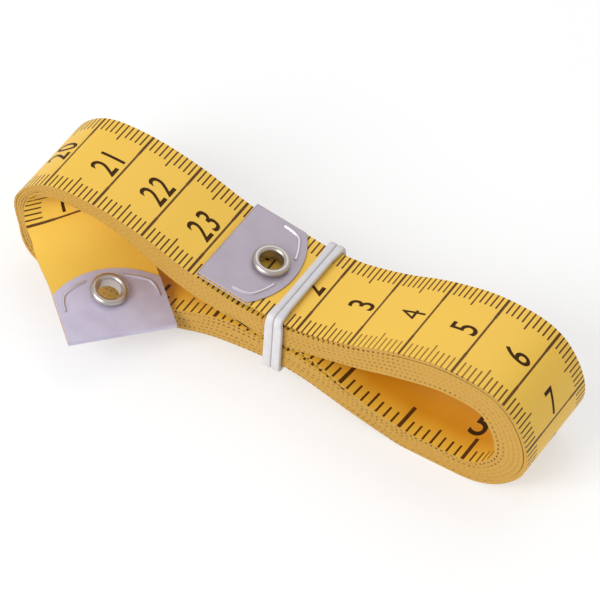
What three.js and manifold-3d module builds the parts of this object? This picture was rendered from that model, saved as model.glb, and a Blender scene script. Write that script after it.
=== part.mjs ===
// A cloth tape measure put away as a hank: 60 inches of flat printed tape wound round and round, pinched by a
// doubled rubber band, with a folded sheet-metal clip and a rolled eyelet on each end.
// Millimetres, +Z up. X runs along the hank, Y across the tape, and the origin is on the table, at the middle of
// the flat foot of the large right-hand loop.
import * as THREE from "three";
import { mergeVertices } from "three/addons/utils/BufferGeometryUtils.js";
import Module from "manifold-3d";

// Tape
const TAPE_WIDTH = 19;
const TAPE_THICKNESS = 0.28;
const TURN_GAP = 0.44; // air between neighbouring turns
const FULL_TURNS = 6; // turns from the outer end to the pass that crosses the waist

// Space inside the winding, measured to the middle of its innermost turn
const WAIST_X = -30; // where the band pinches the hank
const WAIST_GAP = 0.8;
const WAIST_RISE = 5.95; // from the bottom of the inner space up to the middle of the waist
const RIGHT_REACH = 13.5; // from the foot to the far end of the right loop
const RIGHT_CLEAR = 14.9; // inside height of the right loop
const LEFT_REACH = 48.7; // from the waist to the far end of the left loop
const LEFT_CLEAR = 13.4; // inside height of the left loop
const FOOT_SAG = 0.3; // how far its weight presses the round foot flat on the table

// Ends of the tape
const OUTER_END_X = -45.4; // straight edge of the outer clip, on top of the hank
const OUTER_LIFT_RUN = 9; // length in which the tape rises from the hank to the outer clip
const TAIL_LENGTH = 25.3; // from the bend to the inner end
const TAIL_BEND_INSET = 7; // from the far end of the left loop to where the tape starts to bend down to the tail
const TAIL_BEND_DROP = 3.3; // the bend's start below the top of the left loop's inner space
const TAIL_BEND_RADIUS = 1.55;
const TAIL_BEND_ANGLE = 169; // degrees turned about the bend's axis
const TAIL_BEND_SKEW = 20; // degrees between the bend's axis and Y
const TAIL_DRIFT = 2; // sideways, towards the viewer, on the way to the bend
const HINGE_GAP = 0.3; // cut in the tape at a bend that moves

// Sheet-metal clip folded over each end
const CLIP_WIDTH = 19;
const CLIP_SIDE = 9.6; // straight side, from the fold to the arc
const CLIP_ARC_RISE = 3.4;
const SHEET = 0.22;
const CLIP_CLEARANCE = 0.08; // between sheet, tape and eyelet
const EYELET_INSET = 8.3; // from the end of the tape to the middle of the eyelet
const HANK_CLEARANCE = 0.35; // between the outer clip or the band and the hank

// Rolled eyelet
const EYELET_HOLE_RADIUS = 2;
const EYELET_WALL = 0.25;
const EYELET_ROLL = 1.3; // diameter of the rolled rim
const EYELET_FLANGE_RADIUS = 3.1;
const EYELET_FLANGE = 0.2;

// Doubled rubber band
const BAND_STRAND_WIDTH = 1.5;
const BAND_THICKNESS = 1;
const BAND_STRAND_GAP = 0.45;
const BAND_CORNER = 1.2; // radius of the middle of the strand at the hank's corners
const BAND_CROSSING = 8; // length in which a strand moves over to the other side
const BAND_TRAVEL = 3.5; // how far the band can slide towards the right loop

// Fineness of the solids
const STEPS_PER_TURN = 76;
const BEND_WEIGHT = 14; // millimetres: larger values put more of the steps in the bends
const BEND_STEPS = 18;
const EYELET_STEPS = 26;
const BAND_STEPS = 44;

const TAIL_BEND_X = WAIST_X - LEFT_REACH + TAIL_BEND_INSET;
const PITCH = TAPE_THICKNESS + TURN_GAP;
const HALF_WIDTH = TAPE_WIDTH / 2;
const HALF_THICKNESS = TAPE_THICKNESS / 2;
const UP = new THREE.Vector3(0, 0, 1);

const wasm = await Module();
wasm.setup();

function toSolid(geometry) {
  const bare = geometry.clone();
  bare.deleteAttribute("normal");
  bare.deleteAttribute("uv");
  const merged = mergeVertices(bare, 1e-4);
  return new wasm.Manifold(
    new wasm.Mesh({
      numProp: 3,
      vertProperties: merged.attributes.position.array,
      triVerts: new Uint32Array(merged.index.array),
    }),
  );
}

function toGeometry(solid) {
  const mesh = solid.getMesh();
  const geometry = new THREE.BufferGeometry();
  geometry.setAttribute("position", new THREE.BufferAttribute(mesh.vertProperties, 3));
  geometry.setIndex(new THREE.BufferAttribute(mesh.triVerts, 1));
  geometry.computeVertexNormals();
  return geometry;
}

// Inner space of the winding: a closed curve in the XZ plane, run clockwise from the top of the waist, over the
// right loop and back under it and the left loop. Its bottom lies one stack of turns above the table.
const OFFSET_TURNS = FULL_TURNS + 0.5; // the curve lies this many turns inside the tape's outer end
const FOOT_TURN = 0.43; // share of a turn from the outer end to the right loop's foot
const FLOOR = HALF_THICKNESS + PITCH * (OFFSET_TURNS - FOOT_TURN) - FOOT_SAG;

function innerSpace() {
  const waist = (side) => [WAIST_X, WAIST_RISE + (side * WAIST_GAP) / 2];
  const right = (reach, height) => [reach * RIGHT_REACH, height * RIGHT_CLEAR];
  const rightSlope = (share, height) => [share * WAIST_X, height * RIGHT_CLEAR];
  const left = (reach, height) => [WAIST_X - reach * LEFT_REACH, height * LEFT_CLEAR];
  const points = [
    waist(1),
    rightSlope(0.5, 0.65),
    rightSlope(0.19, 0.88),
    right(0.2, 1),
    right(0.74, 0.91),
    right(1, 0.42),
    right(0.76, 0.12),
    right(0.36, 0),
    right(-0.12, 0),
    rightSlope(0.39, 0.125),
    rightSlope(0.8, 0.34),
    waist(-1),
    left(0.27, 0.31),
    left(0.45, 0.1),
    left(0.58, 0),
    left(0.88, 0),
    left(0.975, 0.2),
    left(1, 0.56),
    left(0.92, 0.94),
    left(0.76, 1),
    left(0.57, 0.88),
    left(0.38, 0.655),
    left(0.16, 0.475),
  ].map(([x, z]) => new THREE.Vector3(x, 0, z + FLOOR));
  const curve = new THREE.CatmullRomCurve3(points, true, "centripetal");
  curve.arcLengthDivisions = 3000;
  return curve;
}

const space = innerSpace();
const spaceAt = (u) => {
  const share = ((u % 1) + 1) % 1;
  const point = space.getPointAt(share);
  const tangent = space.getTangentAt(share);
  return { point, tangent, outward: new THREE.Vector3(-tangent.z, 0, tangent.x) };
};

// Where the tape's outer end lies on the curve, on the top of the left loop.
function outerEndShare() {
  const offset = PITCH * OFFSET_TURNS;
  let low = 0.8;
  let high = 1;
  for (let i = 0; i < 40; i++) {
    const middle = (low + high) / 2;
    const { point, outward } = spaceAt(middle);
    if (point.x + outward.x * offset < OUTER_END_X) low = middle;
    else high = middle;
  }
  return low;
}
const outerEnd = outerEndShare();

// Height of the inner space's top (side 1) or bottom (side -1) at x.
function spaceHeight(x, side) {
  let [low, high] = side > 0 ? [outerEnd - 0.2, 1.2] : [0.3, 0.62];
  for (let i = 0; i < 40; i++) {
    const middle = (low + high) / 2;
    const before = side > 0 ? spaceAt(middle).point.x < x : spaceAt(middle).point.x > x;
    if (before) low = middle;
    else high = middle;
  }
  return spaceAt(low).point.z;
}

// Shares of a turn at which the tape has a step: close together in the bends.
function stepShares() {
  const count = 1440;
  const weight = [0];
  const length = space.getLength();
  for (let i = 0; i < count; i++) {
    const turned = spaceAt(outerEnd + i / count).tangent.angleTo(spaceAt(outerEnd + (i + 1) / count).tangent);
    weight.push(weight[i] + length / count + BEND_WEIGHT * turned);
  }
  const shares = [];
  let i = 0;
  for (let step = 0; step < STEPS_PER_TURN; step++) {
    const wanted = (step / STEPS_PER_TURN) * weight[count];
    while (weight[i + 1] < wanted) i++;
    shares.push((i + (wanted - weight[i]) / (weight[i + 1] - weight[i])) / count);
  }
  return shares;
}
const shares = stepShares();

// Middle of the tape after the given number of turns. Each turn lies one pitch inside the one before, and the turns
// under a loop are pressed flat, one on another.
function windingPoint(turns) {
  const { point, outward } = spaceAt(outerEnd + turns);
  point.addScaledVector(outward, PITCH * (OFFSET_TURNS - turns));
  point.z = Math.max(point.z, HALF_THICKNESS + PITCH * Math.floor(turns));
  return point;
}

// The outer clip and its eyelet lie between the tape's end and the turn below, so the tape rises to make room.
const OUTER_LIFT =
  HANK_CLEARANCE + EYELET_FLANGE + SHEET + 2 * CLIP_CLEARANCE + TAPE_THICKNESS - PITCH;
const CLIP_LENGTH = CLIP_SIDE + CLIP_ARC_RISE;

// Turns at a length of tape from the outer end.
function turnsAtLength(wanted) {
  const step = 0.0005;
  let turns = 0;
  let length = 0;
  let last = windingPoint(0);
  while (length < wanted) {
    turns += step;
    const next = windingPoint(turns);
    length += next.distanceTo(last);
    last = next;
  }
  return turns;
}
const coilStart = turnsAtLength(CLIP_LENGTH + 2 * HINGE_GAP);
const liftEnd = turnsAtLength(CLIP_LENGTH + 2 * HINGE_GAP + OUTER_LIFT_RUN);

function outerPoint(turns) {
  const point = windingPoint(turns);
  const share = THREE.MathUtils.smoothstep(turns, coilStart, liftEnd);
  return point.addScaledVector(spaceAt(outerEnd + turns).outward, OUTER_LIFT * (1 - share));
}

// Last pass of the tape, heading left: from the bottom of the right loop through the waist to the top of the left
// loop, level with the start of the bend.
const CROSSING_START = 0.42; // share of the waist's distance from the foot
const CROSSING_END = 0.2; // share of the left loop's reach, past the waist
const RUN_INSET = 0.55 * PITCH; // below the inner space's top
const runStartX = CROSSING_START * WAIST_X;
const runCrossedX = WAIST_X - CROSSING_END * LEFT_REACH;
const bendStartZ = FLOOR + LEFT_CLEAR - TAIL_BEND_DROP;

function runHeight(x) {
  const easing = 0.3; // millimetres: softens the change from the loop's top to the level stretch
  const top = spaceHeight(Math.max(x, TAIL_BEND_X), 1) - RUN_INSET;
  const level = -easing * Math.log(Math.exp(-top / easing) + Math.exp(-bendStartZ / easing));
  if (x < runCrossedX) return level;
  const share = THREE.MathUtils.smoothstep(-x, -runStartX, -runCrossedX);
  const turns = FULL_TURNS + FOOT_TURN;
  const bottom = spaceHeight(x, -1) - PITCH * (OFFSET_TURNS - turns - 0.04);
  return bottom + (level - bottom) * share;
}

const runDrift = (x) => -TAIL_DRIFT * THREE.MathUtils.smoothstep(-x, -runCrossedX, -TAIL_BEND_X);

// One station of the tape: the middles of its front and back edges. A slanted station has its front edge ahead.
const across = (point) => ({
  front: point.clone().setY(-HALF_WIDTH),
  back: point.clone().setY(HALF_WIDTH),
});
const runPoint = (x, y) => new THREE.Vector3(x, y, runHeight(x));

function slanted(x, slant) {
  const ahead = HALF_WIDTH * Math.tan(slant);
  const y = runDrift(x);
  return { front: runPoint(x - ahead, y - HALF_WIDTH), back: runPoint(x + ahead, y + HALF_WIDTH) };
}

function tapeStations() {
  const stations = [];
  const crossingTurns = FULL_TURNS + 1;
  const addWound = (turns) => stations.push(across(outerPoint(turns)));
  addWound(coilStart);
  for (let turn = 0; turn < crossingTurns; turn++)
    for (const share of shares) {
      const turns = turn + share;
      const past = turn === FULL_TURNS && share > 0.25 && windingPoint(turns).x < runStartX + 1;
      if (turns > coilStart + 0.004 && !past && !(turn === FULL_TURNS && share > 0.7)) addWound(turns);
    }
  const slant = THREE.MathUtils.degToRad(TAIL_BEND_SKEW);
  const runSteps = 22;
  for (let i = 0; i <= runSteps; i++) {
    const x = THREE.MathUtils.lerp(runStartX, TAIL_BEND_X, i / runSteps);
    const share = THREE.MathUtils.smoothstep(-x, -runCrossedX, -TAIL_BEND_X);
    stations.push(slanted(x, slant * share));
  }
  return stations;
}

// The tape bends down to the tail about a level axis that is skewed from Y, so that the tail comes out in front.
const wound = tapeStations();
const lastWound = wound[wound.length - 1];
const bendAxis = lastWound.back.clone().sub(lastWound.front).setZ(0).normalize();
const bendHeading = new THREE.Vector3(-1, 0, 0);
const bendMiddle = lastWound.front.clone().lerp(lastWound.back, 0.5);
const bendCentre = bendMiddle.clone().addScaledVector(UP, -TAIL_BEND_RADIUS);
const alongAxis = bendHeading.dot(bendAxis);
const acrossAxis = Math.sqrt(1 - alongAxis * alongAxis);

function bendStation(angle) {
  const shift = (alongAxis * TAIL_BEND_RADIUS * angle) / acrossAxis;
  const turnRound = (point) =>
    point.clone().sub(bendCentre).applyAxisAngle(bendAxis, -angle).add(bendCentre).addScaledVector(bendAxis, shift);
  return { front: turnRound(lastWound.front), back: turnRound(lastWound.back) };
}

const bendTotal = THREE.MathUtils.degToRad(TAIL_BEND_ANGLE);
const stations = [...wound];
for (let i = 1; i <= BEND_STEPS; i++) stations.push(bendStation((bendTotal * i) / BEND_STEPS));

// The printed face's direction at each station: square to the tape, and lengthened at a corner so that the tape
// keeps its thickness there.
function faceDirections(list) {
  const middle = list.map(({ front, back }) => front.clone().lerp(back, 0.5));
  const normals = list.slice(1).map((next, i) => {
    const ruling = next.back.clone().sub(next.front).normalize();
    return middle[i + 1].clone().sub(middle[i]).cross(ruling).normalize();
  });
  return list.map((station, i) => {
    const before = normals[Math.max(i - 1, 0)];
    const after = normals[Math.min(i, normals.length - 1)];
    const direction = before.clone().add(after).normalize();
    return direction.divideScalar(direction.dot(after));
  });
}

function ribbonGeometry(list) {
  const directions = faceDirections(list);
  const vertices = [];
  list.forEach(({ front, back }, i) => {
    const half = directions[i].clone().multiplyScalar(HALF_THICKNESS);
    for (const corner of [
      front.clone().add(half),
      back.clone().add(half),
      back.clone().sub(half),
      front.clone().sub(half),
    ])
      vertices.push(corner.x, corner.y, corner.z);
  });
  const index = [];
  for (let i = 0; i < list.length - 1; i++)
    for (let side = 0; side < 4; side++) {
      const a = 4 * i + side;
      const b = 4 * i + ((side + 1) % 4);
      index.push(a, a + 4, b + 4, a, b + 4, b);
    }
  const end = 4 * (list.length - 1);
  index.push(0, 1, 2, 0, 2, 3, end, end + 2, end + 1, end, end + 3, end + 2);
  const geometry = new THREE.BufferGeometry();
  geometry.setAttribute("position", new THREE.Float32BufferAttribute(vertices, 3));
  geometry.setIndex(index);
  geometry.computeVertexNormals();
  return geometry;
}

// Least gap between two stretches of the wound tape, measured from points across it to the middle lines of the
// stretches that are more than a few millimetres of tape away.
function leastGap(list) {
  const widths = [0.02, 0.25, 0.5, 0.75, 0.98];
  const apart = 4;
  const at = (station, share) => station.front.clone().lerp(station.back, share);
  const along = [0];
  for (let i = 1; i < list.length; i++)
    along.push(along[i - 1] + at(list[i], 0.5).distanceTo(at(list[i - 1], 0.5)));
  const segment = new THREE.Line3();
  const nearest = new THREE.Vector3();
  let least = Infinity;
  for (const share of widths)
    for (let i = 0; i < list.length; i++)
      for (const other of widths)
        for (let j = 1; j < list.length; j++) {
          if (Math.min(Math.abs(along[i] - along[j]), Math.abs(along[i] - along[j - 1])) < apart) continue;
          segment.set(at(list[j - 1], other), at(list[j], other));
          const point = at(list[i], share);
          segment.closestPointToPoint(point, true, nearest);
          least = Math.min(least, nearest.distanceTo(point));
        }
  return { gap: least - TAPE_THICKNESS, length: along[along.length - 1] };
}

const tapeMaterial = () => new THREE.MeshStandardMaterial({ color: 0xf2c230, roughness: 0.45, metalness: 0 });
const clipMaterial = () => new THREE.MeshStandardMaterial({ color: 0xb9b6c4, roughness: 0.32, metalness: 1 });
const eyeletMaterial = () => new THREE.MeshStandardMaterial({ color: 0xd8d4cf, roughness: 0.2, metalness: 1 });
const bandMaterial = () => new THREE.MeshStandardMaterial({ color: 0xe9eaee, roughness: 0.6, metalness: 0 });

function named(name, geometry, material) {
  const mesh = new THREE.Mesh(geometry, material);
  mesh.name = name;
  return mesh;
}

// Outline of a clip seen from above, x from the end of the tape: straight sides and a shallow arc.
function clipOutline(start) {
  const half = CLIP_WIDTH / 2;
  const radius = (half * half + CLIP_ARC_RISE * CLIP_ARC_RISE) / (2 * CLIP_ARC_RISE);
  const centre = CLIP_LENGTH - radius;
  const sweep = Math.asin(half / radius);
  const outline = new THREE.Shape();
  outline.moveTo(start, -half);
  outline.lineTo(CLIP_SIDE, -half);
  outline.absarc(centre, 0, radius, -sweep, sweep, false);
  outline.lineTo(start, half);
  return outline;
}

// Sheet folded to a U over the end of the tape, with a hole for the eyelet through both leaves.
const BARREL_RADIUS = EYELET_HOLE_RADIUS + EYELET_WALL;
const HOLE_RADIUS = BARREL_RADIUS + CLIP_CLEARANCE;
const LEAF_INNER = HALF_THICKNESS + CLIP_CLEARANCE;
const LEAF_OUTER = LEAF_INNER + SHEET;

function clipGeometry() {
  const fold = new THREE.Shape();
  fold.moveTo(CLIP_LENGTH + 1, LEAF_INNER);
  fold.lineTo(CLIP_LENGTH + 1, LEAF_OUTER);
  fold.lineTo(0, LEAF_OUTER);
  fold.absarc(0, 0, LEAF_OUTER, Math.PI / 2, 1.5 * Math.PI, false);
  fold.lineTo(CLIP_LENGTH + 1, -LEAF_OUTER);
  fold.lineTo(CLIP_LENGTH + 1, -LEAF_INNER);
  fold.lineTo(0, -LEAF_INNER);
  fold.absarc(0, 0, LEAF_INNER, 1.5 * Math.PI, Math.PI / 2, true);
  const folded = new THREE.ExtrudeGeometry(fold, { depth: CLIP_WIDTH + 2, bevelEnabled: false, curveSegments: 6 });
  folded.translate(0, 0, -CLIP_WIDTH / 2 - 1).rotateX(Math.PI / 2);

  const outline = clipOutline(-LEAF_OUTER - 1);
  outline.holes.push(new THREE.Path().absarc(EYELET_INSET, 0, HOLE_RADIUS, 0, 2 * Math.PI, true));
  const height = 4 * LEAF_OUTER;
  const blank = new THREE.ExtrudeGeometry(outline, { depth: height, bevelEnabled: false, curveSegments: 12 });
  blank.translate(0, 0, -height / 2);
  return toGeometry(toSolid(folded).intersect(toSolid(blank)));
}

// Eyelet: a barrel through the clip with a rolled rim on the printed side and a flat flange below.
function eyeletGeometry() {
  const rollRadius = EYELET_ROLL / 2;
  const seat = LEAF_OUTER + CLIP_CLEARANCE;
  const rollX = EYELET_HOLE_RADIUS + rollRadius;
  const section = new THREE.Shape();
  section.moveTo(EYELET_HOLE_RADIUS, -seat - EYELET_FLANGE);
  section.lineTo(EYELET_FLANGE_RADIUS, -seat - EYELET_FLANGE);
  section.lineTo(EYELET_FLANGE_RADIUS, -seat);
  section.lineTo(BARREL_RADIUS, -seat);
  section.lineTo(BARREL_RADIUS, seat);
  section.lineTo(rollX, seat);
  section.absarc(rollX, seat + rollRadius, rollRadius, -Math.PI / 2, Math.PI, false);
  section.closePath();
  const geometry = new THREE.LatheGeometry(section.getPoints(5), EYELET_STEPS);
  return geometry.rotateX(Math.PI / 2).translate(EYELET_INSET, 0, 0);
}

// Flat end of the tape inside its clip, from the end of the tape to the bend where it is free to move.
function endStripGeometry(corners) {
  const outline = new THREE.Shape();
  outline.moveTo(0, -HALF_WIDTH);
  outline.lineTo(corners[0].x, corners[0].y);
  outline.lineTo(corners[1].x, corners[1].y);
  outline.lineTo(0, HALF_WIDTH);
  outline.holes.push(new THREE.Path().absarc(EYELET_INSET, 0, HOLE_RADIUS, 0, 2 * Math.PI, true));
  const strip = new THREE.ExtrudeGeometry(outline, { depth: TAPE_THICKNESS, bevelEnabled: false, curveSegments: 10 });
  return strip.translate(0, 0, -HALF_THICKNESS);
}

// One end of the tape with its clip and eyelet, in a frame with x from the end into the tape, z on the printed side.
function tapeEnd(side, corners) {
  const end = new THREE.Group();
  end.add(named(`tape_${side}_end`, endStripGeometry(corners), tapeMaterial()));
  end.add(named(`${side}_end_clip`, clipGeometry(), clipMaterial()));
  end.add(named(`${side}_eyelet`, eyeletGeometry(), eyeletMaterial()));
  return end;
}

function placed(group, origin, xAxis, zAxis) {
  const yAxis = zAxis.clone().cross(xAxis).normalize();
  const frame = new THREE.Matrix4().makeBasis(xAxis, yAxis, xAxis.clone().cross(yAxis));
  group.quaternion.setFromRotationMatrix(frame);
  group.position.copy(origin);
  return group;
}

// The outer end lies on top of the hank, along the straight line between its two ends. It lifts about the top of
// the clip's arc, beside the band.
function outerTapeEnd() {
  const start = outerPoint(0);
  const finish = outerPoint(coilStart);
  const heading = finish.clone().sub(start).normalize();
  const up = new THREE.Vector3(-heading.z, 0, heading.x);
  const reach = finish.distanceTo(start) - HINGE_GAP;
  const end = tapeEnd("outer", [new THREE.Vector2(reach, -HALF_WIDTH), new THREE.Vector2(reach, HALF_WIDTH)]);
  const pivot = new THREE.Group();
  pivot.name = "outer_end_pivot";
  pivot.position.copy(start).addScaledVector(heading, CLIP_LENGTH).addScaledVector(up, LEAF_OUTER);
  pivot.add(placed(end, start.clone().sub(pivot.position), heading, up));
  return pivot;
}

// The inner end is the tail that comes out of the left loop. It flexes about the axis of its bend.
function innerTapeEnd() {
  const last = stations[stations.length - 1];
  const heading = bendHeading.clone().applyAxisAngle(bendAxis, -bendTotal);
  const up = UP.clone().negate().applyAxisAngle(bendAxis, -bendTotal);
  const back = heading.clone().negate();
  const origin = last.front.clone().lerp(last.back, 0.5).addScaledVector(heading, TAIL_LENGTH);
  const end = placed(new THREE.Group(), origin, back, up);
  end.updateMatrixWorld(true);
  const corner = (point) => {
    const local = end.worldToLocal(point.clone());
    return new THREE.Vector2(local.x - HINGE_GAP, local.y);
  };
  const corners = [corner(last.back), corner(last.front)].sort((a, b) => a.y - b.y);
  end.add(...tapeEnd("inner", corners).children);
  const pivot = new THREE.Group();
  pivot.name = "inner_end_pivot";
  pivot.position.copy(bendCentre);
  end.position.sub(pivot.position);
  pivot.add(end);
  return pivot;
}

// One rubber band wound twice round the waist: two strands side by side that cross once, underneath.
function bandGeometry() {
  const reach = BAND_STRAND_WIDTH + BAND_STRAND_GAP / 2;
  const covered = stations
    .flatMap(({ front, back }) => [front, back])
    .filter(({ x }) => x > WAIST_X - reach - 1 && x < WAIST_X + reach + BAND_TRAVEL + 1);
  const heights = covered.map(({ z }) => z);
  const proud = HALF_THICKNESS + HANK_CLEARANCE + BAND_THICKNESS / 2;
  const top = Math.max(...heights) + proud;
  const bottom = Math.min(...heights) - proud;
  const side = HALF_WIDTH + HANK_CLEARANCE + BAND_THICKNESS / 2;

  // Once round, from the middle of the underside.
  const lap = new THREE.Path();
  lap.moveTo(0, bottom);
  lap.lineTo(side - BAND_CORNER, bottom);
  lap.absarc(side - BAND_CORNER, bottom + BAND_CORNER, BAND_CORNER, -Math.PI / 2, 0, false);
  lap.lineTo(side, top - BAND_CORNER);
  lap.absarc(side - BAND_CORNER, top - BAND_CORNER, BAND_CORNER, 0, Math.PI / 2, false);
  lap.lineTo(BAND_CORNER - side, top);
  lap.absarc(BAND_CORNER - side, top - BAND_CORNER, BAND_CORNER, Math.PI / 2, Math.PI, false);
  lap.lineTo(-side, bottom + BAND_CORNER);
  lap.absarc(BAND_CORNER - side, bottom + BAND_CORNER, BAND_CORNER, Math.PI, 1.5 * Math.PI, false);
  lap.lineTo(0, bottom);
  const length = lap.getLength();

  // Steps along one lap: close together at the corners and at the crossing.
  const steps = [];
  const runs = lap.curves.map((curve) => curve.getLength());
  let covers = 0;
  lap.curves.forEach((curve, i) => {
    const count = curve.isEllipseCurve ? 5 : Math.max(2, Math.round((BAND_STEPS / 2) * (runs[i] / length)));
    for (let step = 0; step < count; step++) steps.push((covers + (runs[i] * step) / count) / length);
    covers += runs[i];
  });

  const offset = (BAND_STRAND_WIDTH + BAND_STRAND_GAP) / 2;
  const halfWidth = BAND_STRAND_WIDTH / 2;
  const halfThick = BAND_THICKNESS / 2;
  const chamfer = 0.3 * BAND_THICKNESS;
  const section = [
    [halfWidth, halfThick - chamfer],
    [halfWidth - chamfer, halfThick],
    [chamfer - halfWidth, halfThick],
    [-halfWidth, halfThick - chamfer],
    [-halfWidth, chamfer - halfThick],
    [chamfer - halfWidth, -halfThick],
    [halfWidth - chamfer, -halfThick],
    [halfWidth, chamfer - halfThick],
  ];
  const vertices = [];
  for (let round = 0; round < 2; round++)
    for (const share of steps) {
      const fromStart = share * length;
      const fromEnd = (1 - share) * length;
      const strand = round === 0 ? -1 : 1;
      const aside = strand * offset * THREE.MathUtils.smoothstep(Math.min(fromStart, fromEnd), 0, BAND_CROSSING / 2);
      const over = round === 0 ? fromEnd : fromStart;
      const raised = (BAND_THICKNESS + BAND_STRAND_GAP) * (1 - THREE.MathUtils.smoothstep(over, 0, BAND_CROSSING));
      const { x: y, y: z } = lap.getPointAt(share);
      const tangent = lap.getTangentAt(share);
      for (const [wide, thick] of section)
        vertices.push(
          WAIST_X + aside + wide,
          y + tangent.y * (thick + raised),
          z - tangent.x * (thick + raised),
        );
    }
  const rings = 2 * steps.length;
  const sides = section.length;
  const index = [];
  for (let ring = 0; ring < rings; ring++)
    for (let i = 0; i < sides; i++) {
      const a = ring * sides + i;
      const b = ring * sides + ((i + 1) % sides);
      const c = ((ring + 1) % rings) * sides + i;
      const d = ((ring + 1) % rings) * sides + ((i + 1) % sides);
      index.push(a, d, c, a, b, d);
    }
  const geometry = new THREE.BufferGeometry();
  geometry.setAttribute("position", new THREE.Float32BufferAttribute(vertices, 3));
  geometry.setIndex(index);
  geometry.computeVertexNormals();
  return geometry;
}

const measured = leastGap(stations);
console.log(`least gap of the wound tape to itself: ${measured.gap.toFixed(3)} mm`);
console.log(`tape in the winding: ${measured.length.toFixed(1)} mm`);

const hank = new THREE.Group();
hank.add(named("tape_coil", ribbonGeometry(stations), tapeMaterial()));
hank.add(outerTapeEnd());
hank.add(innerTapeEnd());
hank.add(named("rubber_band", bandGeometry(), bandMaterial()));

export default hank;
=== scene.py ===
import math
import bmesh
import bpy
import numpy as np
from mathutils import Matrix, Vector


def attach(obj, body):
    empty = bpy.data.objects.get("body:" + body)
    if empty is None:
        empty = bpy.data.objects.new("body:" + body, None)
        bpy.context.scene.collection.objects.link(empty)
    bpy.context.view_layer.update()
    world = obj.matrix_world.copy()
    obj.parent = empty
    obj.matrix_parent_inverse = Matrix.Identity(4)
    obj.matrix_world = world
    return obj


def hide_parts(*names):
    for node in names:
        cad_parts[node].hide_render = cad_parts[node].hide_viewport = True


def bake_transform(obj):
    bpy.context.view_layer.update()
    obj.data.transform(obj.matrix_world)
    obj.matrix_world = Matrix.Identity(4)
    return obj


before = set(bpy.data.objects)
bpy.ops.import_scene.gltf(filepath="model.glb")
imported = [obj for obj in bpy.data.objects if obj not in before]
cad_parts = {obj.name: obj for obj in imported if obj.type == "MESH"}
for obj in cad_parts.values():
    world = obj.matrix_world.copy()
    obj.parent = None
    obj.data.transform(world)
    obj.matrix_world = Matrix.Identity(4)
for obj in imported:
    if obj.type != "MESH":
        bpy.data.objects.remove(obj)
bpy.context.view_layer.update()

# Tape: one strip of glass cloth coated with yellow PVC, 19 mm wide and 60 inches long, printed and slit. It
# is wound six times and a bit round two open loops, and its pieces are the wound part, the flap in the
# outer clip and the tail with the inner clip.
mm = 0.001
tape_width = 19 * mm
tape_sheet = 0.28 * mm
merge_distance = 1e-6

# The wound solid is walked from its outer end, one ring of four corners after another. A corner along the
# strip has six edges, and one at either end has fewer.
flap_middle = Vector(np.mean([v.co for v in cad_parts["tape_outer_end"].data.vertices], axis=0))
solid = bmesh.new()
solid.from_mesh(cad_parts["tape_coil"].data)
bmesh.ops.remove_doubles(solid, verts=solid.verts, dist=merge_distance)
end_corners = [v for v in solid.verts if len(v.link_edges) < 6]
levels = [sorted(end_corners, key=lambda v: (v.co - flap_middle).length)[:4]]
walked = set(levels[0])
while levels[-1]:
    ahead = {edge.other_vert(v) for v in levels[-1] for edge in v.link_edges} - walked
    walked |= ahead
    levels.append(list(ahead))
levels.pop()

# Corners of each station in one order: front printed, back printed, back plain, front plain.
across = np.array((0, 1, 0))
facing = np.array((0, 0, 1))
stations = []
for level in levels:
    ring = np.array([v.co for v in level])
    front, back = np.split(ring[np.argsort(ring @ across)], 2)
    front = front[np.argsort(-front @ facing)]
    back = back[np.argsort(-back @ facing)]
    stations.append(np.array([front[0], back[0], back[1], front[1]]))
    across = back[0] - front[0]
    facing = front[0] - front[1]
solid.free()
stations = np.array(stations)


# Origin and axes of a flat end: x from the end of the tape to the hole for the eyelet, y across the tape and
# z on the printed side. The end is the four corners of the solid that lie farthest from the hinge, and the
# hole is those within 5 mm of its middle. All are rounded to what the solid holds exactly.
def flat_end(strip, hinge):
    points = np.unique(np.array([v.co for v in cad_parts[strip].data.vertices]), axis=0)
    hole = points[np.linalg.norm(points - points.mean(axis=0), axis=1) < 5 * mm].mean(axis=0)
    corners = points[np.argsort(np.linalg.norm(points - hinge, axis=1))[-4:]]
    origin = corners.mean(axis=0)
    x_axis = (hole - origin) / np.linalg.norm(hole - origin)
    y_axis = np.linalg.svd(corners - origin)[2][0]
    y_axis = y_axis * np.sign(np.cross(x_axis, y_axis)[2])
    z_axis = np.cross(x_axis, y_axis)
    return origin.round(8), x_axis.round(5), y_axis.round(5), z_axis.round(5)


outer_frame = flat_end("tape_outer_end", stations[0].mean(axis=0))
inner_frame = flat_end("tape_inner_end", stations[-1].mean(axis=0))
outer_origin, outer_x, outer_y, outer_z = outer_frame
inner_origin, inner_x, inner_y, inner_z = inner_frame

wound_front = (stations[:, 0] + stations[:, 3]) / 2
wound_back = (stations[:, 1] + stations[:, 2]) / 2
wound_middle = (wound_front + wound_back) / 2
wound_x = wound_middle[:, 0] / mm
wound_height = wound_middle[:, 2] / mm
wound_facing = stations[:, 0] - stations[:, 3] + stations[:, 1] - stations[:, 2]
wound_facing /= np.linalg.norm(wound_facing, axis=1)[:, None]
going = np.gradient(wound_middle, axis=0)
turns = -np.unwrap(np.arctan2(going[:, 2], going[:, 0])) / (2 * math.pi)


# Share from 0 at the start to 1 at the end, level at both.
def ease(value, start, end):
    share = np.clip((value - start) / (end - start), 0, 1)
    return share * share * (3 - 2 * share)


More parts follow.
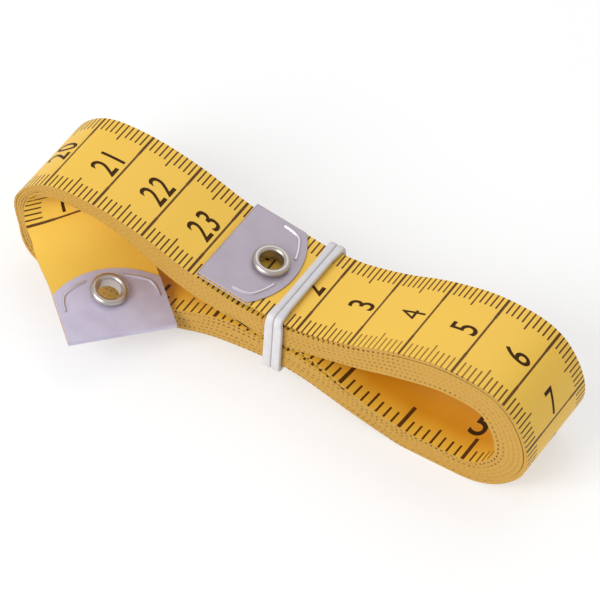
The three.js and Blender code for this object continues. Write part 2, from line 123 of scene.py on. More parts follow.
# How much closer a turn lies to the one outside it than in the evenly wound solid, in millimetres. Each
# line has its amount, the x where it starts and is full, and the side of the hank that it acts on.
on_top = np.clip(wound_facing[:, 2], 0, 1)
on_bottom = np.clip(-wound_facing[:, 2], 0, 1)
at_left = np.clip(-wound_facing[:, 0], 0, 1)
at_right = np.clip(wound_facing[:, 0], 0, 1)
left_top = 0.28 * ease(wound_x, -50, -64) * on_top ** 2
left_round = 0.3 * ease(wound_x, -50, -64) * at_left ** 2
left_mouth = -0.16 * ease(wound_x, -47.5, -40) * ease(wound_x, -31, -39) * on_bottom ** 2
right_mouth = -0.08 * ease(wound_x, -29.5, -25.5) * ease(wound_x, -10, -20) * on_bottom ** 2
right_top = -0.15 * ease(wound_x, -18, -4) * on_top ** 2
right_round = -0.22 * ease(wound_x, 0, 8) * at_right ** 2
right_bottom = 0.13 * ease(wound_x, -28, -16) * on_bottom ** 2
closer = (left_top + left_round + left_mouth + right_mouth + right_top + right_round + right_bottom) * mm
solid_pitch = 0.72 * mm
pitch = solid_pitch - closer

# The outermost turn stays, and each turn inside it moves by its share. Then the whole left end is drawn in
# below, the top beside the band is pressed down, and the right end reaches out a little.
outermost_turn = 0.95
move = (closer * np.clip(turns - outermost_turn, 0, None))[:, None] * wound_facing
drawn_in = (0.1 + 1.5 * ease(wound_height, 16, 8)) * ease(wound_height, 0, 9) * ease(wound_x, -60, -74)
pressed_down = 0.45 * ease(wound_x, -31.5, -25.5) * ease(wound_x, -10, -22) * on_top
reached_out = 0.65 * ease(wound_x, -2, 13)
move[:, 0] += (drawn_in + reached_out) * mm
move[:, 2] -= pressed_down * mm
wound_front = wound_front + move
wound_back = wound_back + move

# The last pass lies under the top of the left loop and bends down to the tail at the loop's end. The bend
# is a half turn about a level axis, skewed from Y, and the tail rolls and drops on from there.
solid_bend_steps = 18
solid_run_steps = 23
run_steps = 40
bend_steps = 24
tail_steps = 28
bend_radius = 2.3 * mm
bend_skew = math.radians(20)
bend_angle = math.radians(169)
bend_shift = 2.2 * mm
tail_length = 25.0 * mm
tail_rise = np.array((-0.5, -0.5, 3.2)) * mm
tail_roll = math.radians(25)
clip_hold = 13.2 * mm
bend_axis = np.array((math.sin(bend_skew), math.cos(bend_skew), 0))
bend_side = bend_axis * bend_shift
bend_creep = bend_axis * bend_radius * math.tan(bend_skew)
bend_exit = inner_origin + inner_x * tail_length + tail_rise
bend_centre = bend_exit + inner_z * bend_radius + bend_creep * bend_angle
bend_top = bend_centre + bend_side + (0, 0, bend_radius)

run_first = len(wound_front) - solid_bend_steps - solid_run_steps
run_middle = (wound_front + wound_back)[run_first:run_first + solid_run_steps] / 2
run_gap = 0.15 * mm
run_leaves = 38 * mm
run_turns = 40 * mm
run_seated = 56 * mm
over_run = (turns > 5.5) & (turns < 6.2) & (wound_facing[:, 2] > 0.3)
over_run[run_first:] = False
ceiling_x = wound_middle[over_run, 0]
ceiling_z = wound_front[over_run, 2] + tape_sheet / 2 - pitch[over_run] - run_gap
ceiling_order = np.argsort(ceiling_x)


# A point of the last pass, which rises from the solid's route to lie under the turn above.
def run_point(x, y):
    low = np.interp(-x, -run_middle[:, 0], run_middle[:, 2])
    under_turn = np.interp(x, ceiling_x[ceiling_order], ceiling_z[ceiling_order])
    level = min(under_turn, bend_top[2]) if x > bend_top[0] else bend_top[2]
    return np.array((x, y, low + (level - low) * ease(-x, run_leaves, run_seated)))


run_front, run_back = [], []
for x in np.linspace(run_middle[0, 0], bend_top[0], run_steps):
    share = ease(-x, run_turns, -bend_top[0])
    lead = tape_width / 2 * math.tan(bend_skew * share)
    y = bend_top[1] * share
    run_front.append(run_point(x - lead, y - tape_width / 2))
    run_back.append(run_point(x + lead, y + tape_width / 2))
run_front, run_back = np.array(run_front), np.array(run_back)

curl_front, curl_back = [], []
for angle in np.linspace(0, bend_angle, bend_steps + 1)[1:]:
    turned = np.array(Matrix.Rotation(-angle, 3, Vector(bend_axis)))
    carried = bend_centre - bend_creep * angle + bend_side * (1 - ease(angle, 0, bend_angle))
    curl_front.append(turned @ (run_front[-1] - bend_side - bend_centre) + carried)
    curl_back.append(turned @ (run_back[-1] - bend_side - bend_centre) + carried)

# The tail runs straight to its clip, and is rolled about its own length up to where the clip holds it.
tail_share = np.linspace(0, 1, tail_steps + 1)[1:, None]
loose = ease(tail_share, 1 - clip_hold / tail_length, 0.08)
tail_front_end = inner_origin + inner_y * tape_width / 2
tail_back_end = inner_origin - inner_y * tape_width / 2
tail_front_start = curl_front[-1] - tail_rise
tail_back_start = curl_back[-1] - tail_rise
tail_front = tail_front_start + (tail_front_end - tail_front_start) * tail_share + tail_rise * loose
tail_back = tail_back_start + (tail_back_end - tail_back_start) * tail_share + tail_rise * loose
curl_front, curl_back = np.concatenate([curl_front, tail_front]), np.concatenate([curl_back, tail_back])
curl_heading = np.gradient((curl_front + curl_back) / 2, axis=0)
bend_share = np.linspace(0, 1, bend_steps + 1)[1:]
rolled = np.concatenate([ease(bend_share, 0, 1), loose[:, 0]]) * tail_roll
for i, angle in enumerate(rolled):
    turned = np.array(Matrix.Rotation(angle, 3, Vector(curl_heading[i])))
    middle = (curl_front[i] + curl_back[i]) / 2
    half = turned @ (curl_back[i] - curl_front[i]) / 2
    curl_front[i] = middle - half
    curl_back[i] = middle + half
smoothing_rounds = 6
for _ in range(smoothing_rounds):
    for edge in (curl_front, curl_back):
        edge[1:-1] = (edge[:-2] + 2 * edge[1:-1] + edge[2:]) / 4

# The whole route, from the end in the outer clip to the end in the inner one. A free stretch has the
# cloth's own thickness, and a pressed one fills the pitch of the turns.
free_pitch = 0.33 * mm
tail_turn = 7.0
run_freed = 14
flap_steps = np.array((0, 2, 4, 6, 8, 10, 11.5, 12.6))[:, None] * mm
flap_middle_line = outer_origin + outer_x * flap_steps
flap_front = flap_middle_line - outer_y * tape_width / 2
flap_back = flap_middle_line + outer_y * tape_width / 2
route_front = np.concatenate([flap_front, wound_front[:run_first], run_front, curl_front])
route_back = np.concatenate([flap_back, wound_back[:run_first], run_back, curl_back])
route_going = np.gradient((route_front + route_back) / 2, axis=0)
route_facing = np.cross(route_going, route_back - route_front)
route_facing /= np.linalg.norm(route_facing, axis=1)[:, None]
run_count = len(run_front) + len(curl_front)
run_pitch = free_pitch + (pitch[run_first] - free_pitch) * ease(np.arange(run_count), run_freed, 0)
route_pitch = np.concatenate([np.full(len(flap_front), free_pitch), pitch[:run_first], run_pitch])
route_turns = np.concatenate([np.zeros(len(flap_front)), turns[:run_first], np.full(run_count, tail_turn)])


def lengths(points):
    return np.concatenate([[0], np.cumsum(np.linalg.norm(np.diff(points, axis=0), axis=1))])


route_length = lengths((route_front + route_back) / 2)
bend_start = route_length[len(flap_front) + run_first + run_steps - 1]
tape_end = route_length[-1]

# Fine stations on a smooth curve through the route, closest at the hinge and the bend. The hinge and the run
# of the flap are in millimetres.
hinge_from = 12.4
hinge_to = 15.2
flap_run = 40
bend_run = 11 * mm
places = np.concatenate([np.arange(0, hinge_from, 0.4), np.arange(hinge_from, hinge_to, 0.14),
                         np.arange(hinge_to, flap_run, 0.5)]) * mm
places = np.concatenate([places, np.arange(flap_run * mm, bend_start, 0.8 * mm),
                         np.linspace(bend_start, bend_start + bend_run, 45),
                         np.linspace(bend_start + bend_run + 0.4 * mm, tape_end, 40)])


def smooth_through(values):
    slope = np.gradient(values, route_length, axis=0)
    i = np.clip(np.searchsorted(route_length, places, side="right") - 1, 0, len(route_length) - 2)
    run = (route_length[i + 1] - route_length[i])[:, None]
    t = (places - route_length[i])[:, None] / run
    return ((2 * t**3 - 3 * t**2 + 1) * values[i] + (t**3 - 2 * t**2 + t) * run * slope[i]
            + (3 * t**2 - 2 * t**3) * values[i + 1] + (t**3 - t**2) * run * slope[i + 1])


tape_front = smooth_through(route_front)
tape_back = smooth_through(route_back)
tape_middle = (tape_front + tape_back) / 2
tape_facing = smooth_through(route_facing)
tape_facing /= np.linalg.norm(tape_facing, axis=1)[:, None]
tape_turns = np.interp(places, route_length, route_turns)

# Printed millimetres along the tape. The scale starts at the outer clip and ends at 1524, and the places
# between are those of the lines 6, 20 and 23 cm and of two inch bars. The last centimetre line has its own
# place on each edge.
print_places = np.array((0, 59.95, 198.3, 227.8, 1248.8, 1393.6)) * mm
printed_at = (0.8, 60, 200, 230, 1250.6, 1402.94, 1500, 1524)


def printed_along(edge, last_line):
    along = lengths(edge)
    knots = np.concatenate([np.interp(print_places, places, along), [along[-1] - last_line, along[-1]]])
    return np.interp(along, knots, printed_at)


front_print = printed_along(tape_front, 24.2 * mm)
back_print = printed_along(tape_back, 25.4 * mm)


def srgb(code):
    parts = [int(code[i:i + 2], 16) / 255 for i in (1, 3, 5)]
    return tuple(p / 12.92 if p <= 0.04045 else ((p + 0.055) / 1.055) ** 2.4 for p in parts) + (1,)


def add_node(material, kind, inputs=(), **settings):
    made = material.node_tree.nodes.new(kind)
    for name, value in settings.items():
        setattr(made, name, value)
    for name, value in dict(inputs).items():
        if isinstance(value, bpy.types.NodeSocket):
            material.node_tree.links.new(value, made.inputs[name])
        else:
            made.inputs[name].default_value = value
    return made


# Finish of the tape: the coating is calendered, so it is satin with a faint weave and a mottled tint. Its UV
# map is in millimetres, along the print and across the tape, and so are the sizes here. The threads are drawn
# about twice as far apart as real ones, which are too fine to see.
tape_ink = srgb("#451A00")
thread_spacing = 0.8727
mottle_size = 6.25


def coated_cloth(name):
    material = bpy.data.materials.new(name)
    material.use_nodes = True
    place = add_node(material, "ShaderNodeUVMap", uv_map="tape_mm").outputs[0]
    split = add_node(material, "ShaderNodeSeparateXYZ", {0: place})
    return material, split.outputs[0], split.outputs[1], place


# Lines at each period along the tape, as wide as twice the half width, that reach in from an edge.
def line_row(material, along, period, half_width, from_edge, reach):
    beside = add_node(material, "ShaderNodeMath", {0: along, 1: period / 2}, operation="PINGPONG")
    on_line = add_node(material, "ShaderNodeMath", {0: beside.outputs[0], 1: half_width},
                       operation="LESS_THAN")
    in_reach = add_node(material, "ShaderNodeMath", {0: from_edge, 1: reach}, operation="LESS_THAN")
    return add_node(material, "ShaderNodeMath", {0: on_line.outputs[0], 1: in_reach.outputs[0]},
                    operation="MULTIPLY").outputs[0]


def finish_cloth(material, place, print_mask, ground, pale_tint_and_light, ink_cover, roughness):
    wave = {"Vector": place, "Scale": math.pi / 10 / thread_spacing, "Distortion": 0.6}
    warp = add_node(material, "ShaderNodeTexWave", wave, bands_direction="X")
    weft = add_node(material, "ShaderNodeTexWave", wave, bands_direction="Y")
    weave = add_node(material, "ShaderNodeMath", {0: warp.outputs["Fac"], 1: weft.outputs["Fac"]},
                     operation="MULTIPLY")
    mottle = add_node(material, "ShaderNodeTexNoise", {"Vector": place, "Scale": 1 / mottle_size,
                                                       "Detail": 4.0})
    # The pale share lifts the mottle towards the paler ground; on the inch side it is a painted light along
    # the front edge.
    tint = add_node(material, "ShaderNodeMath", {0: mottle.outputs["Fac"], 1: 0.3, 2: pale_tint_and_light},
                    operation="MULTIPLY_ADD", use_clamp=True)
    shade = add_node(material, "ShaderNodeMix", {0: tint.outputs[0], 6: srgb(ground[0]),
                                                 7: srgb(ground[1])}, data_type="RGBA")
    inked = add_node(material, "ShaderNodeMath", {0: print_mask, 1: ink_cover}, operation="MULTIPLY")
    colour = add_node(material, "ShaderNodeMix", {0: inked.outputs[0], 6: shade.outputs[2], 7: tape_ink},
                      data_type="RGBA")
    bump = add_node(material, "ShaderNodeBump", {"Height": weave.outputs[0], "Strength": 0.12,
                                                 "Distance": 0.04 * mm})
    surface = material.node_tree.nodes["Principled BSDF"]
    surface.inputs["Roughness"].default_value = roughness
    surface.inputs["IOR"].default_value = 1.5
    surface.inputs["Specular IOR Level"].default_value = 0.25
    material.node_tree.links.new(colour.outputs[2], surface.inputs["Base Color"])
    material.node_tree.links.new(bump.outputs[0], surface.inputs["Normal"])


# Centimetre side: short lines along both edges, their ink drawn paler on the front edge around 42 mm as a
# painted glare, and whole lines across the tape at each centimetre, thicker at their ends.
half_tape = tape_width / mm / 2
cm_side, along, aside, place = coated_cloth("yellow_pvc_centimetre_side")
from_edge = add_node(cm_side, "ShaderNodeMath", {0: aside, 1: half_tape}, operation="PINGPONG").outputs[0]
millimetre_lines = line_row(cm_side, along, 1, 0.15, from_edge, 3.0)
half_lines = line_row(cm_side, along, 5, 0.15, from_edge, 4.1)
short_lines = add_node(cm_side, "ShaderNodeMath", {0: millimetre_lines, 1: half_lines}, operation="MAXIMUM")
# The ink of the short lines is drawn paler near 42 mm on the front edge: a painted glare.
off_glare = add_node(cm_side, "ShaderNodeMath", {0: along, 1: 42.0}, operation="SUBTRACT")
off_glare = add_node(cm_side, "ShaderNodeMath", {0: off_glare.outputs[0]}, operation="ABSOLUTE")
unglared_along = add_node(cm_side, "ShaderNodeMapRange", {"Value": off_glare.outputs[0], "From Min": 9.0,
                                                      "From Max": 20.0, "To Min": 0.74, "To Max": 1.0})
unglared_across = add_node(cm_side, "ShaderNodeMapRange", {"Value": aside, "From Min": 3.0, "From Max": 12.0,
                                                       "To Min": 0.7, "To Max": 1.0})
ink_under_glare = add_node(cm_side, "ShaderNodeMath", {0: unglared_along.outputs[0], 1: unglared_across.outputs[0]},
                    operation="MAXIMUM")
marks = add_node(cm_side, "ShaderNodeMath", {0: short_lines.outputs[0], 1: ink_under_glare.outputs[0]},
                 operation="MULTIPLY")
for half_width, reach, cover in ((0.26, 4.9, 0.9), (0.2, 20, 0.96)):
    centimetre_lines = line_row(cm_side, along, 10, half_width, from_edge, reach)
    lines = add_node(cm_side, "ShaderNodeMath", {0: centimetre_lines, 1: cover}, operation="MULTIPLY")
    marks = add_node(cm_side, "ShaderNodeMath", {0: marks.outputs[0], 1: lines.outputs[0]},
                     operation="MAXIMUM")
before_end = add_node(cm_side, "ShaderNodeMath", {0: along, 1: 1500.5}, operation="LESS_THAN")
marks = add_node(cm_side, "ShaderNodeMath", {0: marks.outputs[0], 1: before_end.outputs[0]},
                 operation="MULTIPLY")
finish_cloth(cm_side, place, marks.outputs[0], ("#EFC454", "#EBBC49"), pale_tint_and_light=0.35, ink_cover=0.95,
             roughness=0.45)

# Inch side: sixteenths, quarters and half inches along both edges, counted from the inner end. Its deep
# orange ground is a painted shade of the loops' insides, and it is paler along the front edge, a painted
# light.
inch = 25.4
inch_phase = 5.94
inch_side, along, aside, place = coated_cloth("yellow_pvc_inch_side")
from_edge = add_node(inch_side, "ShaderNodeMath", {0: aside, 1: half_tape}, operation="PINGPONG").outputs[0]
from_mark = add_node(inch_side, "ShaderNodeMath", {0: along, 1: inch_phase},
                     operation="SUBTRACT").outputs[0]
marks = line_row(inch_side, from_mark, inch / 16, 0.2, from_edge, 2.6)
for period, half_width, reach in ((inch / 4, 0.22, 3.6), (inch / 2, 0.36, 5.3)):
    longer = line_row(inch_side, from_mark, period, half_width, from_edge, reach)
    marks = add_node(inch_side, "ShaderNodeMath", {0: marks, 1: longer}, operation="MAXIMUM").outputs[0]
# Paler towards the front edge, a painted light, over a deep orange ground that is a painted shade.
lit_front_edge = add_node(inch_side, "ShaderNodeMapRange", {"Value": aside, "From Min": 0.8, "From Max": 5.5,
                                                       "To Min": 0.9, "To Max": 0.0}).outputs[0]
finish_cloth(inch_side, place, marks, ("#D58F00", "#EDBB3E"), pale_tint_and_light=lit_front_edge, ink_cover=0.95,
             roughness=0.45)

# Cut edge: bare tan cloth, where the ink of each line shows as a dot beside the print. The dots fade in and
# out in stretches of about 14 mm, and show more on some turns than on others.
fade_length = 14.286
cut_edge, along, aside, place = coated_cloth("cut_tape_edge")
dots = line_row(cut_edge, along, 1, 0.2, aside, 0.3)
fade = add_node(cut_edge, "ShaderNodeTexNoise", {"Vector": place, "Scale": 1 / fade_length, "Detail": 2.0})
fade = add_node(cut_edge, "ShaderNodeMapRange", {"Value": fade.outputs["Fac"], "From Min": 0.4,
                                                 "From Max": 0.58})
bleed = add_node(cut_edge, "ShaderNodeAttribute", attribute_name="ink_bleed")
for cover in (fade.outputs[0], bleed.outputs["Fac"]):
    dots = add_node(cut_edge, "ShaderNodeMath", {0: dots, 1: cover}, operation="MULTIPLY").outputs[0]
finish_cloth(cut_edge, place, dots, ("#C69B47", "#B68B3C"), pale_tint_and_light=0.35, ink_cover=0.9, roughness=0.6)

# How thick each turn is shown: it fills its pitch but for a hair, is thinner where the innermost turns are
# pinched beside the band, and has the cloth's own thickness where the outer end lifts.
turn_hair = 0.03 * mm
waist_x = -30 * mm
thickness = np.interp(places, route_length, route_pitch) - turn_hair
pinched = ease(np.abs(tape_middle[:, 0] - waist_x), 16 * mm, 9 * mm)
face_down = tape_facing[:, 2] < 0
pinched[face_down] *= ease(tape_front[face_down, 0], -20 * mm, -28 * mm)
thickness -= 0.26 * mm * pinched * ease(tape_turns, 5.2, 5.6) * (tape_turns < 6.9)
thickness += (0.3 * mm - thickness) * ease(places, 40 * mm, 18 * mm)

# How much ink bled into the cut edge: most on the outermost and innermost turns of the right loop and under
# the left one, and little elsewhere.
tape_x = tape_middle[:, 0] / mm
right_loop = tape_x > -33
right_loop_top = right_loop & (tape_facing[:, 2] > 0.2)
left_loop_bottom = (tape_x > -64) & (tape_x < -33) & (tape_facing[:, 2] < -0.3)
ink_bleed = np.full(len(places), 0.15)
ink_bleed[right_loop_top] = 0.5
ink_bleed[right_loop & (tape_x < -4) & (tape_facing[:, 2] < -0.2)] = 0.6
ink_bleed[right_loop_top & (tape_turns < 1)] = 1
ink_bleed[(tape_x > -2) & (tape_turns > 1)] = 0.15
ink_bleed[right_loop & (tape_turns > 5.2)] = 1
ink_bleed[left_loop_bottom & (tape_turns < 6.9)] = 1

# Rings of corners round the tape: seven across the printed side, then seven back across the plain side.
table_gap = 0.02 * mm
printed_front = tape_front + tape_facing * tape_sheet / 2
printed_back = tape_back + tape_facing * tape_sheet / 2
plain_front = printed_front - tape_facing * thickness[:, None]
plain_back = printed_back - tape_facing * thickness[:, None]
shares = np.linspace(0, 1, 7)
printed_side = printed_front[:, None] + (printed_back - printed_front)[:, None] * shares[:, None]
plain_side = plain_back[:, None] + (plain_front - plain_back)[:, None] * shares[:, None]
tape_rings = np.concatenate([printed_side, plain_side], axis=1)
tape_rings[:, :, 2] = np.maximum(tape_rings[:, :, 2], table_gap)
round_shares = np.concatenate([shares, shares[::-1]])
ring_print = front_print[:, None] + (back_print - front_print)[:, None] * round_shares


def tape_piece(name, first, last):
    rings, at = tape_rings[first:last + 1], ring_print[first:last + 1]
    thick = thickness[first:last + 1] / mm
    width = tape_width / mm
    count, points = rings.shape[:2]
    # Finishes: 0 is the centimetre side, 1 the cut edge and 2 the inch side.
    faces, uvs, finishes = [], [], []
    for i in range(count - 1):
        for a in range(points):
            b = (a + 1) % points
            faces.append((points * i + a, points * (i + 1) + a, points * (i + 1) + b, points * i + b))
            if a == len(shares) - 1:
                finish, aside = 1, (0, 0, thick[i + 1], thick[i])
            elif a == points - 1:
                finish, aside = 1, (thick[i], thick[i + 1], 0, 0)
            else:
                near, far = width * round_shares[a], width * round_shares[b]
                finish, aside = 0 if a < len(shares) else 2, (near, near, far, far)
            finishes.append(finish)
            uvs += zip((at[i, a], at[i + 1, a], at[i + 1, b], at[i, b]), aside)
    faces += [tuple(range(points)), tuple(range(points * count - 1, points * (count - 1) - 1, -1))]
    finishes += [1, 1]
    uvs += [(0.5, width)] * (2 * points)
    mesh = bpy.data.meshes.new(name)
    mesh.from_pydata(rings.reshape(-1, 3).tolist(), [], faces)
    layer = mesh.uv_layers.new(name="tape_mm")
    layer.data.foreach_set("uv", np.array(uvs).ravel())
    bled = mesh.attributes.new("ink_bleed", "FLOAT", "POINT")
    bled.data.foreach_set("value", np.repeat(ink_bleed[first:last + 1], points))
    for finish in (cm_side, cut_edge, inch_side):
        mesh.materials.append(finish)
    mesh.polygons.foreach_set("material_index", finishes)
    piece = bpy.data.objects.new(name, mesh)
    bpy.context.scene.collection.objects.link(piece)
    bpy.ops.object.select_all(action="DESELECT")
    piece.select_set(True)
    bpy.context.view_layer.objects.active = piece
    bpy.ops.object.shade_smooth_by_angle(angle=math.radians(40))
    return piece


# Hole for the eyelet, in the middle of a flat end.
eyelet_inset = 8.3 * mm
hole_radius = 2.33 * mm


def punch_hole(piece, origin, x_axis, z_axis):
    bpy.ops.object.select_all(action="DESELECT")
    bpy.ops.mesh.primitive_cylinder_add(vertices=40, radius=hole_radius, depth=3 * mm)
    punch = bpy.context.object
    aim = Vector(z_axis).to_track_quat("Z", "Y").to_matrix().to_4x4()
    punch.matrix_world = Matrix.Translation(Vector(origin + x_axis * eyelet_inset)) @ aim
    cut = piece.modifiers.new("eyelet_hole", "BOOLEAN")
    cut.object = punch
    cut.solver = "EXACT"
    bpy.context.view_layer.objects.active = piece
    bpy.ops.object.modifier_apply(modifier=cut.name)
    bpy.data.objects.remove(punch)


flap_length = 14.6 * mm
flap_last = int(np.searchsorted(places, flap_length))
tail_first = int(np.argmin(np.abs(places - bend_start)))
coil = tape_piece("tape_wound_strip", flap_last, tail_first)
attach(coil, "hank")
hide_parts("tape_coil")

flap = tape_piece("tape_outer_flap", 0, flap_last)
punch_hole(flap, outer_origin, outer_x, outer_z)
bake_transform(flap)
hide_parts("tape_outer_end")

tail = tape_piece("tape_inner_tail", tail_first, len(places) - 1)
punch_hole(tail, inner_origin, inner_x, inner_z)
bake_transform(tail)
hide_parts("tape_inner_end")


# Printed numerals: black screen ink on the coating, about 5 mm tall. Those of the centimetre side stand just
# before their line and read from the front edge to the back, and those of the inch side stand over their bar.
# The ink is dull, with a grain of about 1 mm.
ink_grain_size = 1.111 * mm
ink = bpy.data.materials.new("black_screen_print")
ink.use_nodes = True
ink_place = add_node(ink, "ShaderNodeTexCoord").outputs["Object"]
ink_grain = add_node(ink, "ShaderNodeTexNoise", {"Vector": ink_place, "Scale": 1 / ink_grain_size,
                                                 "Detail": 3.0})
ink_shade = add_node(ink, "ShaderNodeMix", {0: ink_grain.outputs["Fac"], 6: srgb("#3A2205"),
                                            7: srgb("#452B09")}, data_type="RGBA")
ink_surface = ink.node_tree.nodes["Principled BSDF"]
ink_surface.inputs["Roughness"].default_value = 0.45
ink_surface.inputs["Specular IOR Level"].default_value = 0.1
ink.node_tree.links.new(ink_shade.outputs[2], ink_surface.inputs["Base Color"])

# Outlines of the digits, in millimetres, cut in both ways so that they bend with the tape. The 4 is drawn
# lighter, so that its triangle stays open.
type_size = 6.8
cut_step = 0.5
digits = {}
for digit in "0123456789":
    bpy.ops.object.select_all(action="DESELECT")
    bpy.ops.object.text_add()
    glyph = bpy.context.object
    glyph.data.body = digit
    glyph.data.align_x = "CENTER"
    glyph.data.size = type_size
    glyph.data.offset = -0.025 if digit == "4" else 0.06
    glyph.data.resolution_u = 4
    bpy.ops.object.convert(target="MESH")
    bpy.ops.object.mode_set(mode="EDIT")
    for height in np.arange(0.25, 5.1, cut_step):
        bpy.ops.mesh.select_all(action="SELECT")
        bpy.ops.mesh.bisect(plane_co=(0, height, 0), plane_no=(0, 1, 0))
    for breadth in np.arange(-1.5, 1.6, cut_step):
        bpy.ops.mesh.select_all(action="SELECT")
        bpy.ops.mesh.bisect(plane_co=(breadth, 0, 0), plane_no=(1, 0, 0))
    bpy.ops.object.mode_set(mode="OBJECT")
    corners = np.array([v.co for v in glyph.data.vertices])
    digits[digit] = corners, [tuple(p.vertices) for p in glyph.data.polygons]
    bpy.data.objects.remove(glyph)


# A point on either side of the tape, from its printed millimetres along the tape and its place across it.
def on_tape(print_at, across, lift, printed):
    share = across / (tape_width / mm)
    at = np.interp(print_at, front_print + (back_print - front_print) * share, np.arange(len(places)))
    i = min(int(at), len(places) - 2)
    near, far = (printed_front, printed_back) if printed else (plain_front, plain_back)
    edge = near + (far - near) * share
    facing = tape_facing[i] if printed else -tape_facing[i]
    return edge[i] + (edge[i + 1] - edge[i]) * (at - i) + facing * lift


line_gap = 0.8
numeral_middle = 9.6


def before_line(number, beside, up):
    return 10 * number - line_gap - up, numeral_middle + beside


last_inch = 60
bar_offset = 1.05
bar_top = 5.75


def over_bar(number, beside, up):
    return inch_phase + inch * (last_inch - number) + bar_offset - beside, bar_top + up


digit_advance = 2.8
skin_floor = 0.004 * mm


def numerals(name, numbers, spot, wide, tall, printed, lift):
    verts, faces = [], []
    for number in numbers:
        text = str(number)
        for order, digit in enumerate(text):
            shape, skins = digits[digit]
            start = len(verts)
            shift = (order - (len(text) - 1) / 2) * digit_advance
            for x, y, _ in shape:
                print_at, across = spot(number, shift + x * wide, y * tall)
                verts.append(on_tape(print_at, across, lift, printed))
            faces += [tuple(start + v for v in skin) for skin in skins]
    mesh = bpy.data.meshes.new(name)
    mesh.from_pydata([(x, y, max(z, skin_floor)) for x, y, z in verts], [], faces)
    mesh.materials.append(ink)
    piece = bpy.data.objects.new(name, mesh)
    bpy.context.scene.collection.objects.link(piece)
    return piece


outer_numerals = numerals("centimetre_numerals", range(2, 26), before_line, wide=0.72, tall=1.0,
                          printed=True, lift=0.014 * mm)
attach(outer_numerals, "hank")
inner_numerals = numerals("inch_numerals", range(4, 10), over_bar, wide=1.08, tall=1.2,
                          printed=False, lift=0.014 * mm)
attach(inner_numerals, "hank")
tail_numeral = numerals("last_centimetre_numeral", (150,), before_line, wide=0.72, tall=1.0,
                        printed=True, lift=0.03 * mm)
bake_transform(tail_numeral)


# End clips: tinplate folded over each end of the tape, with a D-shaped leaf on both sides and a raised bead
# pressed in parallel to its arc. It is rolled and tumbled, so reflections are broad, soft and cloudy. The
# grain is drawn coarser than the real one, so that it shows.
cloud_size = 4.545 * mm
plate_grain_size = 0.3846 * mm


def tinplate(name, dark, light, metallic, smooth, rough):
    plate = bpy.data.materials.new(name)
    plate.use_nodes = True
    place = add_node(plate, "ShaderNodeTexCoord").outputs["Object"]
    cloud = add_node(plate, "ShaderNodeTexNoise", {"Vector": place, "Scale": 1 / cloud_size,
                                                   "Detail": 5.0}).outputs["Fac"]
    grain = add_node(plate, "ShaderNodeTexNoise", {"Vector": place, "Scale": 1 / plate_grain_size,
                                                   "Detail": 2.0}).outputs["Fac"]
    shade = add_node(plate, "ShaderNodeMix", {0: cloud, 6: srgb(dark), 7: srgb(light)}, data_type="RGBA")
    worn = add_node(plate, "ShaderNodeMapRange", {"Value": cloud, "To Min": smooth, "To Max": rough})
    bump = add_node(plate, "ShaderNodeBump", {"Height": grain, "Strength": 0.12, "Distance": 0.02 * mm})
    surface = plate.node_tree.nodes["Principled BSDF"]
    surface.inputs["Metallic"].default_value = metallic
    plate.node_tree.links.new(shade.outputs[2], surface.inputs["Base Color"])
    plate.node_tree.links.new(worn.outputs[0], surface.inputs["Roughness"])
    plate.node_tree.links.new(bump.outputs[0], surface.inputs["Normal"])
    return plate


# The clips are one tinplate in two tones: the outer one darker, a painted shade, and the inner one paler, a
# painted light against the loop's shade over it, and more matt. The beads are rubbed bright and smoother, and
# their paler colour is in part a painted highlight.
outer_plate = tinplate("darker_painted_tinplate", "#A1979F", "#C2B8C6", metallic=0.6, smooth=0.42, rough=0.6)
inner_plate = tinplate("satin_painted_paler_tinplate", "#B2ABC1", "#DAD4E9", metallic=0.38, smooth=0.42, rough=0.66)
bead_plate = tinplate("burnished_highlit_tinplate", "#CDC6D0", "#DDD8E0", metallic=0.9, smooth=0.25, rough=0.38)

# Path of each bead in the clip's own frame, in millimetres: along the arc, then round the corner to the side.
leaf_top = 0.44
clip_length = 13.0
clip_arc_rise = 3.4
clip_arc_radius = (half_tape ** 2 + clip_arc_rise ** 2) / (2 * clip_arc_rise)
clip_arc_x = clip_length - clip_arc_radius
bead_inset = 1.45
bead_radius = clip_arc_radius - bead_inset
bead_side = 8.35
bead_corner_x = 8.8
bead_end_x = 5.9
bead_sunk = 0.04
bead_paths = []
for side in (-1, 1):
    arc = [(clip_arc_x + bead_radius * math.cos(angle), side * bead_radius * math.sin(angle))
           for angle in np.linspace(0.25, 0.56, 9)]
    x, y = arc[-1]
    corner = [((1 - t) ** 2 * x + 2 * t * (1 - t) * bead_corner_x + t ** 2 * bead_end_x,
               (1 - t) ** 2 * y + (2 * t * (1 - t) + t ** 2) * side * bead_side)
              for t in np.linspace(0.1, 1, 9)]
    bead_paths.append(arc + corner)


